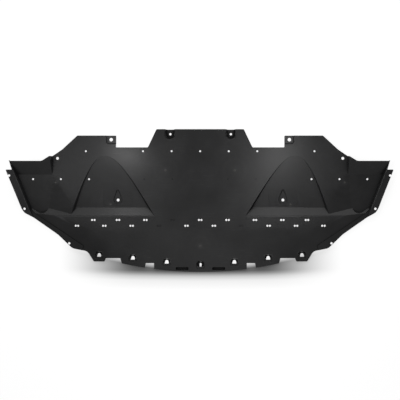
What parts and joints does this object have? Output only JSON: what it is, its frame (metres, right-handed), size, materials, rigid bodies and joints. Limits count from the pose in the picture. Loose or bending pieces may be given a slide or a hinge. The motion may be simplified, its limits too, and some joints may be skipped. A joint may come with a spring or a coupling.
{
  "type": "engine splash shield",
  "caption": "Wide moulded plastic sheet with raised side rims, sunk ramps and drilled fastening seats that closes an engine bay from below.",
  "frame": {"origin": "middle of the bounding box, on the surface that the shield lies on", "axes": "+X across the car, +Y to the rear of the car, +Z out of the side that faces the ground once it is fitted"},
  "size_m": [1.6274, 0.606, 0.0689],
  "materials": {
    "moulded_plastic": "satin moulded black"
  },
  "bodies": {
    "root": {"splash_shield": "moulded_plastic"}
  },
  "joints": []
}
